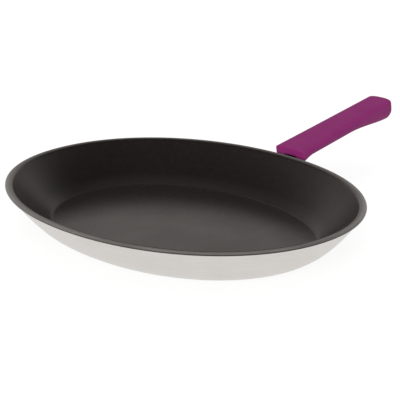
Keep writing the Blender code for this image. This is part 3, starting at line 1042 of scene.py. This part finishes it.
@dataclass
class StripHandle:
    """The steel strip: a plate on the wall, a neck under the lip, and the tang inside the grip."""

    section: PanSection
    thickness: float = 0.0025
    width: float = 0.0155
    seat_gap: float = 0.0003
    plate_width: float = 0.044
    plate_height: float = 0.023
    plate_corner: float = 0.010
    plate_waist: float = 0.007
    plate_top_below_rim: float = 0.0115
    bend_radius: float = 0.006
    tang_length: float = 0.120
    tang_corner: float = 0.006
    tang_below_rim: float = 0.0029
    neck_into_grip: float = 0.008
    rise: float = math.radians(10)
    rim_to_grip: float = 0.0061
    rounding: float = 0.0005
    rounding_steps: int = 3
    rounded_above: float = math.radians(50)
    columns: int = 24
    corner_steps: int = 8
    plate_steps: int = 16
    bend_steps: int = 8
    off: float = field(init=False)
    top_slope: float = field(init=False)
    neck_slope: float = field(init=False)
    plate_top: Vector = field(init=False)
    along: Vector = field(init=False)
    origin: Vector = field(init=False)
    tang_start: Vector = field(init=False)
    tang_end: Vector = field(init=False)

    def __post_init__(self) -> None:
        """Finds the plate's ends on the wall, the tang's line, and the neck's slope between them."""
        self.off = self.seat_gap + self.thickness / 2
        plate_top_height = self.section.height - self.plate_top_below_rim
        self.top_slope = self.section.slope_at_height(plate_top_height, self.off)
        self.plate_top = self.section.outer_point(self.top_slope, self.off)
        self.along = heading(self.rise)
        mouth = (self.section.rim_width / 2 + self.rim_to_grip, self.section.height - self.tang_below_rim)
        self.origin = Vector(mouth)
        self.tang_start = self.origin + self.along * self.neck_into_grip
        self.tang_end = self.origin + self.along * self.tang_length
        slope = self.rise
        for _ in range(SETTLING_ROUNDS):
            low_lead = self.bend_radius * math.tan((self.top_slope - slope) / 2)
            high_lead = self.bend_radius * math.tan((slope - self.rise) / 2)
            low_corner = self.plate_top + low_lead * heading(self.top_slope)
            neck = self.tang_start - high_lead * self.along - low_corner
            slope = math.atan2(neck.y, neck.x)
        self.neck_slope = slope

    def _bend(self, start: Vector, first: float, last: float) -> list[tuple[Vector, float]]:
        """A downward bend of the strip.

        Args:
            start: Where it starts.
            first: Slope of the strip there.
            last: Slope where the bend ends.

        Returns:
            A point and the strip's half width there, for each station.
        """
        centre = start - self.bend_radius * heading(first + UP)
        points = arc(centre, self.bend_radius, first + UP, last + UP, self.bend_steps)
        return [(point, self.width / 2) for point in points]

    def _plate_half(self, run: float) -> float:
        """The plate's half width: round corners below, a waist above.

        Args:
            run: How far above the plate's foot.

        Returns:
            The half width.
        """
        half = self.plate_width / 2
        if run < self.plate_corner:
            half -= self.plate_corner - math.sqrt(self.plate_corner**2 - (self.plate_corner - run) ** 2)
        waist = self.plate_height - self.plate_waist
        if run > waist:
            half += (self.width / 2 - half) * smooth((run - waist) / self.plate_waist)
        return half

    def _stations(self) -> list[tuple[Vector, float]]:
        """The strip from the plate's foot to the tang's end.

        Returns:
            A point and the strip's half width there, for each station.
        """
        rows = []
        turns = [QUARTER_TURN * k / self.corner_steps for k in range(self.corner_steps)]
        runs = [self.plate_corner * (1 - math.cos(turn)) for turn in turns]
        rest = self.plate_height - self.plate_corner
        runs += [self.plate_corner + rest * k / self.plate_steps for k in range(self.plate_steps)]
        for run in runs:
            slope = self.section.slope_below(self.top_slope, self.off, self.plate_height - run)
            rows.append((self.section.outer_point(slope, self.off), self._plate_half(run)))
        rows += self._bend(self.plate_top, self.top_slope, self.neck_slope)
        high_lead = self.bend_radius * math.tan((self.neck_slope - self.rise) / 2)
        neck_end = self.tang_start - high_lead * (self.along + heading(self.neck_slope))
        rows += self._bend(neck_end, self.neck_slope, self.rise)
        flat = self.width / 2 - self.tang_corner
        for k in range(self.bend_steps + 1):
            turn = QUARTER_TURN * k / self.bend_steps
            point = self.tang_end - self.along * self.tang_corner * (1 - math.sin(turn))
            rows.append((point, flat + self.tang_corner * math.cos(turn)))
        return rows

    def _follow(self, point: Vector) -> float:
        """How closely the strip follows the oval.

        Args:
            point: A point of its middle line.

        Returns:
            1 on the plate, falling to 0 where the tang starts.
        """
        if point.y <= self.plate_top.y:
            return 1.0
        gone = (point - self.plate_top).length / (self.tang_start - self.plate_top).length
        return max(0.0, 1.0 - gone)

    def strip(self, finish: Finish) -> Object:
        """The strip, given its thickness and a broken edge all round.

        Args:
            finish: Its finish.

        Returns:
            The finished piece.
        """
        shape = bmesh.new()
        rows = []
        stations = self._stations()
        for point, half in stations:
            row = []
            for k in range(self.columns + 1):
                x = half * (2 * k / self.columns - 1)
                y = point.x + self._follow(point) * (self.section.oval_y(point, x) - point.x)
                row.append(shape.verts.new((x, y, point.y)))
            rows.append(row)
        place = shape.loops.layers.uv.new(SURFACE_MAP)
        runs = lengths([point for point, _ in stations])
        for low, high, start, end in zip(rows, rows[1:], runs, runs[1:]):
            for k in range(self.columns):
                face = shape.faces.new((low[k], low[k + 1], high[k + 1], high[k]))
                for corner, run in zip(face.loops, (start, start, end, end)):
                    corner[place].uv = (corner.vert.co.x, run)
        mesh = mesh_of(shape, bpy.data.meshes.new("handle_strip_surface"))
        mesh.materials.append(finish.material())
        source = add_object("handle_strip_surface", mesh)
        solid = source.modifiers.new("thickness", "SOLIDIFY")
        solid.thickness = self.thickness
        solid.offset = 0.0
        solid.use_even_offset = True
        bevel = source.modifiers.new("broken_edge", "BEVEL")
        bevel.width = self.rounding
        bevel.segments = self.rounding_steps
        bevel.limit_method = "ANGLE"
        bevel.angle_limit = self.rounded_above
        return plain_mesh(source, "handle_steel")


@dataclass
class RivetRow:
    """Three rivets through wall and plate, set by one Geometry Nodes tree."""

    section: PanSection
    strip: StripHandle
    loft: RoundLoft
    shank: float = 0.005
    head: float = 0.010
    head_height: float = 0.0026
    edge_round: float = 0.0005
    sunk: float = 0.009
    sunk_depth: float = 0.0018
    below_surface: float = 0.00015
    spacing: float = 0.024
    row_drop: float = 0.009
    below_plate_top: float = 0.0075
    segments: int = 40
    dome_steps: int = 10

    def _tree(self) -> ShapeTree:
        """Turns one rivet from its section, and sets a copy at each seat.

        Returns:
            The tree that does so.
        """
        tree, given = new_tree(
            "set_rivets",
            {
                LoftInput.SECTION: "Geometry",
                LoftInput.SEATS: "Object",
                LoftInput.SEGMENTS: "Int",
                LoftInput.FINISH: "Material",
            },
        )
        passed = (LoftInput.SECTION, LoftInput.SEGMENTS, LoftInput.FINISH)
        round_section = {label.value: given[label] for label in passed}
        round_section[LoftInput.FULLNESS.value] = PLAIN_OVAL
        turned = add_node(tree, "GeometryNodeGroup", round_section, node_tree=self.loft.tree)
        seats = add_node(tree, "GeometryNodeObjectInfo", {"Object": given[LoftInput.SEATS]})
        name = {"Name": FACING_ATTRIBUTE}
        facing = add_node(tree, "GeometryNodeInputNamedAttribute", name, data_type="FLOAT_VECTOR")
        turn = add_node(tree, "FunctionNodeAlignRotationToVector", {"Vector": facing}, axis="Z")
        setting = {"Points": seats.outputs["Geometry"], "Instance": turned, "Rotation": turn}
        end_tree(tree, add_node(tree, "GeometryNodeInstanceOnPoints", setting), given[LoftInput.FINISH])
        return tree

    def _seat(self, across: float, drop: float) -> tuple[Vector, Vector]:
        """One rivet's seat on the wall.

        Args:
            across: How far it lies from the handle's middle, along the oval.
            drop: How far it lies below the plate's top.

        Returns:
            Where the rivet meets the bare inner wall, and the direction into the pan there.
        """
        slope = self.section.slope_below(self.strip.top_slope, self.strip.off, drop)
        inner = self.section.inner_point(slope)
        outward = self.section.outward(inner, across)
        facing = Vector((*(-outward * math.sin(slope)), math.cos(slope)))
        return Vector((across, self.section.oval_y(inner, across), inner.y)), facing

    def _seats(self) -> Object:
        """The three seats as points: two above, one below.

        Returns:
            An object whose vertices are the seats, with the way that each faces.
        """
        high = self.below_plate_top
        low = high + self.row_drop
        half = self.spacing / 2
        found = [self._seat(-half, high), self._seat(half, high), self._seat(0.0, low)]
        mesh = bpy.data.meshes.new("rivet_seats")
        mesh.from_pydata([tuple(place) for place, _ in found], [], [])
        stored = mesh.attributes.new(FACING_ATTRIBUTE, "FLOAT_VECTOR", "POINT")
        for item, (_, facing) in zip(stored.data, found):
            item.vector = facing
        return add_object("rivet_seats", mesh)

    def _section(self) -> list[Station]:
        """A rivet's section: sunk head in the wall, shank, and domed head on the plate.

        Returns:
            The section, from one pole to the other.
        """
        shank = self.shank / 2
        sunk = self.sunk / 2
        face = -self.below_surface
        wall = self.section.wall_thickness + 2 * self.strip.seat_gap
        seat = -(wall + self.strip.thickness)
        dome = self.head / 2
        points = [(0.0, face), (sunk, face), (shank, -self.sunk_depth), (shank, seat)]
        points.append((dome - self.edge_round, seat))
        points.append((dome, seat - self.edge_round))
        crown = self.head_height - self.edge_round
        for k in range(1, self.dome_steps + 1):
            turn = QUARTER_TURN * k / self.dome_steps
            points.append((dome * math.cos(turn), seat - self.edge_round - crown * math.sin(turn)))
        points[-1] = (0.0, points[-1][1])
        return [Station(radius, 1.0, height) for radius, height in points]

    def rivets(self, finish: Finish) -> Object:
        """All three rivets as one mesh of separate solids.

        Args:
            finish: Their finish.

        Returns:
            The finished piece.
        """
        seats = self._seats()
        values = {
            LoftInput.SEATS: seats,
            LoftInput.SEGMENTS: self.segments,
            LoftInput.FINISH: finish.material(),
        }
        made = grown(section_object("rivet_section", self._section(), 0.0), self._tree(), values, "rivets")
        bpy.data.objects.remove(seats)
        return made


@dataclass
class GripSleeve:
    """The silicone sleeve: flat on top, rounder below, with a heel at its far end and a tang pocket.

    Boxiness is the fullness of a section's upper or lower half.
    """

    strip: StripHandle
    line_above_tang: float = 0.0033
    length: float = 0.149
    near_width: float = 0.0384
    mid_width: float = 0.0338
    far_width: float = 0.0302
    above: float = 0.0052
    near_below: float = 0.0070
    mid_below: float = 0.0073
    far_below: float = 0.0160
    mouth_edge: float = 0.0012
    mouth_blend: float = 0.016
    top_edge: float = 0.0015
    tip_corner: float = 0.0018
    heel_radius: float = 0.0084
    tip_bow: float = 0.0026
    top_boxiness: float = 5.1
    mouth_boxiness: float = 4.5
    near_boxiness: float = 1.8
    far_boxiness: float = 3.7
    slide_gap: float = 0.0003
    notch_past_neck: float = 0.0013
    cut_past: float = 0.001
    segments: int = 96
    steps: int = 60
    edge_steps: int = 5
    heel_steps: int = 14

    @staticmethod
    def _drawn_in(distance: float, radius: float) -> float:
        """How far a rounded edge has drawn a surface in.

        Args:
            distance: How far from the end.
            radius: Radius of the edge.

        Returns:
            The distance from the surface's straight line.
        """
        if distance >= radius:
            return 0.0
        return radius - math.sqrt(radius**2 - (radius - distance) ** 2)

    def _half_width(self, share: float) -> float:
        """The sleeve tapers smoothly through its near, middle and far widths.

        Args:
            share: How far along it, from 0 at its mouth to 1.

        Returns:
            Half its width there.
        """
        near = self.near_width * (1 - share) * (1 - 2 * share)
        mid = self.mid_width * 4 * share * (1 - share)
        far = self.far_width * share * (2 * share - 1)
        return (near + mid + far) / 2

    def _below(self, share: float) -> float:
        """It grows slowly deeper up to its middle, then swells into the heel.

        Args:
            share: How far along it, from 0 at its mouth to 1.

        Returns:
            Its depth there, below its middle line.
        """
        if share < 0.5:
            return self.near_below + (self.mid_below - self.near_below) * share * 2
        return self.mid_below + (self.far_below - self.mid_below) * smooth(share * 2 - 1)

    def _belly(self, along: float) -> float:
        """How boxy the underside is: square at the mouth, soon round, and fuller again at the heel.

        Args:
            along: How far from the mouth.

        Returns:
            The boxiness.
        """
        belly = self.near_boxiness + (self.far_boxiness - self.near_boxiness) * along / self.length
        blend = max(0.0, 1 - along / self.mouth_blend)
        return belly + (self.mouth_boxiness - belly) * blend * blend

    def _ring(self, shape: bmesh.types.BMesh, along: float) -> list[bmesh.types.BMVert]:
        """One section of the sleeve.

        Args:
            shape: Mesh that gets its points.
            along: How far from the mouth.

        Returns:
            The points, from the right side over the top and back below.
        """
        share = along / self.length
        left = self.length - along
        mouth = self._drawn_in(along, self.mouth_edge)
        half = self._half_width(share) - mouth - self._drawn_in(left, self.tip_corner)
        above = self.above - mouth - self._drawn_in(left, self.top_edge)
        below = self._below(share) - mouth - self._drawn_in(left, self.heel_radius)
        belly = self._belly(along)
        ring = []
        for k in range(self.segments):
            turn = FULL_TURN * k / self.segments
            upper = k < self.segments / 2
            boxiness = self.top_boxiness if upper else belly
            across = boxed(math.cos(turn), boxiness)
            rise = (above if upper else below) * boxed(math.sin(turn), boxiness)
            bow = self.tip_bow * (across * share) ** 2
            ring.append(shape.verts.new((half * across, along - bow, self.line_above_tang + rise)))
        return ring

    def _stops(self) -> list[float]:
        """Where the sections lie along the sleeve, closer together at its rounded ends.

        Returns:
            How far each lies from the mouth.
        """
        heel_start = self.length - self.heel_radius
        turns = [QUARTER_TURN * k / self.edge_steps for k in range(self.edge_steps)]
        stops = [self.mouth_edge * (1 - math.cos(turn)) for turn in turns]
        straight = heel_start - self.mouth_edge
        stops += [self.mouth_edge + straight * k / self.steps for k in range(self.steps)]
        turns = [QUARTER_TURN * k / self.heel_steps for k in range(self.heel_steps + 1)]
        return stops + [heel_start + self.heel_radius * math.sin(turn) for turn in turns]

    def _box(self, name: str, size: Sequence[float], centre: Sequence[float]) -> Object:
        """A hidden box that opens the sleeve.

        Args:
            name: Name of the box.
            size: Its size on each axis.
            centre: Its centre, on the tang's axes.

        Returns:
            The box.
        """
        shape = bmesh.new()
        place = Matrix.Translation(centre) @ Matrix.Diagonal((*size, 1.0))
        bmesh.ops.create_cube(shape, size=1.0, matrix=place)
        cutter = add_object(name, mesh_of(shape, bpy.data.meshes.new(name)))
        cutter.hide_render = True
        return cutter

    def _cutters(self) -> list[Object]:
        """The pocket for the tang, and the notch for the neck that rises into the mouth.

        Returns:
            A box for each. Both reach past the mouth by cut_past, so that they cut it cleanly.
        """
        width = self.strip.width + 2 * self.slide_gap
        tall = self.strip.thickness + 2 * self.slide_gap
        depth = self.strip.tang_length + self.slide_gap
        notch_depth = self.strip.neck_into_grip + self.notch_past_neck
        notch = max(self.near_below, self.mid_below) - self.line_above_tang + self.cut_past
        cuts = (("tang_pocket", depth, tall, 0.0), ("neck_notch", notch_depth, notch, -notch / 2))
        return [
            self._box(name, (width, deep + self.cut_past, high), (0.0, (deep - self.cut_past) / 2, level))
            for name, deep, high, level in cuts
        ]

    def sleeve(self, finish: Finish) -> Object:
        """The sleeve in its place on the tang.

        Args:
            finish: Its finish.

        Returns:
            The finished piece.
        """
        shape = bmesh.new()
        skin(shape, [self._ring(shape, along) for along in self._stops()])
        mesh = mesh_of(shape, bpy.data.meshes.new("grip_body"))
        mesh.materials.append(finish.material())
        source = add_object("grip_body", mesh)
        place = Matrix.Translation((0.0, self.strip.origin.x, self.strip.origin.y))
        place @= Matrix.Rotation(self.strip.rise, 4, "X")
        source.matrix_world = place
        cutters = self._cutters()
        for cutter in cutters:
            cutter.matrix_world = place
            cut = source.modifiers.new(cutter.name, "BOOLEAN")
            cut.operation = "DIFFERENCE"
            cut.solver = "EXACT"
            cut.object = cutter
        made = plain_mesh(source, "grip_skin")
        for cutter in cutters:
            bpy.data.objects.remove(cutter)
        return made


@dataclass(frozen=True)
class Lamp:
    """A wide soft lamp: where it stands as the camera's azimuth and elevation, both in degrees."""

    name: str
    azimuth: float
    elevation: float
    strength: float
    spread: float

    def light(self) -> None:
        """Adds the lamp, which lights matte surfaces and leaves no hot spot in a glossy one."""
        data = bpy.data.lights.new(self.name, "SUN")
        data.energy = self.strength
        data.angle = math.radians(self.spread)
        made = add_object(self.name, data)
        back = towards(math.radians(self.azimuth), math.radians(self.elevation))
        made.rotation_euler = back.to_track_quat("Z", "Y").to_euler()
        made.visible_glossy = False


@dataclass
class Studio:
    """A pale floor, a white room with a dim ceiling and soft lamps, seen at the photograph's angle.

    room_seen is what a surface mirrors: a tone for each height, from 0 at the horizon to 1 overhead.
    """

    azimuth: float = math.radians(45.0)
    elevation: float = math.radians(19.08)
    distance: float = 1.2
    lens_mm: float = 117.82
    sensor_mm: float = 36.0
    aim: tuple[float, float, float] = (0.0, 0.0, 0.04425)
    shift_right: float = 0.01704
    shift_up: float = -0.01165
    floor_size: float = 12.0
    floor_shown: str = "#808080"
    floor_lit: str = "#F4F4F4"
    floor_glow: float = 0.84
    room_light: float = 0.48
    room_shown: str = "#FFFFFF"
    room_seen: tuple[tuple[float, str], ...] = (
        (0.0, "#95918E"),
        (0.2, "#C9C4C0"),
        (0.32, "#FFF8F3"),
        (0.68, "#4C4A48"),
    )
    lamps: tuple[Lamp, ...] = (
        Lamp("front_lamp", azimuth=42.0, elevation=26.0, strength=1.15, spread=40.0),
        Lamp("low_lamp", azimuth=4.0, elevation=10.0, strength=1.8, spread=30.0),
        Lamp("top_lamp", azimuth=45.0, elevation=82.0, strength=0.7, spread=60.0),
    )

    @staticmethod
    def _shown(tree: Tree) -> Socket:
        """Tells the rays that see things from the light that falls on them.

        Args:
            tree: The nodes that need it.

        Returns:
            1 where a camera, glossy or transmission ray looks, and 0 for light.
        """
        ray = add_node(tree, "ShaderNodeLightPath").outputs
        seen = ray["Is Camera Ray"]
        for kind in ("Is Glossy Ray", "Is Transmission Ray"):
            seen = add_node(tree, "ShaderNodeMath", {0: seen, 1: ray[kind]}, operation="MAXIMUM").outputs[0]
        return seen

    def camera(self) -> None:
        """The camera, turned towards the point that the photograph is centred on."""
        back = towards(self.azimuth, self.elevation)
        right = Vector((math.cos(self.azimuth), math.sin(self.azimuth), 0.0))
        up = back.cross(right)
        target = Vector(self.aim) + right * self.shift_right + up * self.shift_up
        data = bpy.data.cameras.new("camera")
        data.lens = self.lens_mm
        data.sensor_width = self.sensor_mm
        made = add_object("camera", data)
        turned = Matrix((right, up, back)).transposed().to_4x4()
        made.matrix_world = Matrix.Translation(target + back * self.distance) @ turned
        bpy.context.scene.camera = made

    def floor(self) -> None:
        """A white floor that keeps the pan's shadow."""
        shape = bmesh.new()
        bmesh.ops.create_grid(shape, x_segments=1, y_segments=1, size=self.floor_size / 2)
        made = add_object("floor", mesh_of(shape, bpy.data.meshes.new("floor")))
        paint = bpy.data.materials.new("white_paper")
        paint.use_nodes = True
        tree = paint.node_tree
        tree.nodes.clear()
        shown = self._shown(tree)
        tones = {0: shown, MIX_A: linear(self.floor_lit), MIX_B: linear(self.floor_shown)}
        tone = add_node(tree, "ShaderNodeMix", tones, data_type="RGBA").outputs[MIX_OUT]
        matte = add_node(tree, "ShaderNodeBsdfDiffuse", {"Color": tone})
        strength = add_node(tree, "ShaderNodeMath", {0: shown, 1: self.floor_glow}, operation="MULTIPLY")
        glow = add_node(tree, "ShaderNodeEmission", {"Strength": strength})
        both = add_node(tree, "ShaderNodeAddShader", {0: matte, 1: glow})
        add_node(tree, "ShaderNodeOutputMaterial", {"Surface": both})
        made.data.materials.append(paint)

    def room(self) -> None:
        """A white room: plain white to the camera, shaded up to a dim ceiling where a surface mirrors it."""
        world = bpy.data.worlds.new("white_room")
        bpy.context.scene.world = world
        world.use_nodes = True
        tree = world.node_tree
        tree.nodes.clear()
        way = add_node(tree, "ShaderNodeTexCoord").outputs["Generated"]
        height = add_node(tree, "ShaderNodeSeparateXYZ", {0: way}).outputs["Z"]
        mirrored = add_node(tree, "ShaderNodeValToRGB", {"Fac": height})
        stops = mirrored.color_ramp.elements
        stops[1].position = self.room_seen[-1][0]
        for place, _ in self.room_seen[1:-1]:
            stops.new(place)
        for stop, (_, code) in zip(stops, self.room_seen):
            stop.color = linear(code)
        glossy = add_node(tree, "ShaderNodeLightPath").outputs["Is Glossy Ray"]
        tones = {0: glossy, MIX_A: linear(self.room_shown), MIX_B: mirrored}
        tone = add_node(tree, "ShaderNodeMix", tones, data_type="RGBA").outputs[MIX_OUT]
        shown = {"Value": self._shown(tree), "To Min": self.room_light, "To Max": 1.0}
        strength = add_node(tree, "ShaderNodeMapRange", shown)
        light = add_node(tree, "ShaderNodeBackground", {"Color": tone, "Strength": strength})
        add_node(tree, "ShaderNodeOutputWorld", {"Surface": light})

    def set_up(self) -> None:
        """Builds the whole studio."""
        self.camera()
        self.floor()
        self.room()
        for lamp in self.lamps:
            lamp.light()
        bpy.context.scene.view_settings.view_transform = "Standard"


def main() -> None:
    """Builds and dresses every piece in order."""
    logging.basicConfig(level=logging.INFO, format="%(name)s: %(message)s")
    studio = Studio()
    studio.set_up()
    low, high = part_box("nonstick_coating")
    section = PanSection(rim_length=high.x - low.x, rim_width=high.y - low.y, height=high.z)
    loft = RoundLoft()
    aluminium = SatinAluminium("satin_aluminium")
    pressing = PanPressing(section, loft)
    dress(pressing.shell(aluminium), Body.PAN, ["pan_body"])
    dress(pressing.coating(NonStickCoating("nonstick_coating")), Body.PAN, ["nonstick_coating"])
    strip = StripHandle(section)
    dress(strip.strip(BrushedSteel("brushed_steel")), Body.PAN, ["handle_strip"])
    rivets = RivetRow(section, strip, loft)
    names = ["rivet_left", "rivet_right", "rivet_lower"]
    dress(rivets.rivets(aluminium), Body.PAN, names)
    grip = GripSleeve(strip)
    dress(grip.sleeve(PurpleSilicone("purple_silicone")), Body.GRIP, ["grip_sleeve"])


if __name__ == "__main__":
    main()
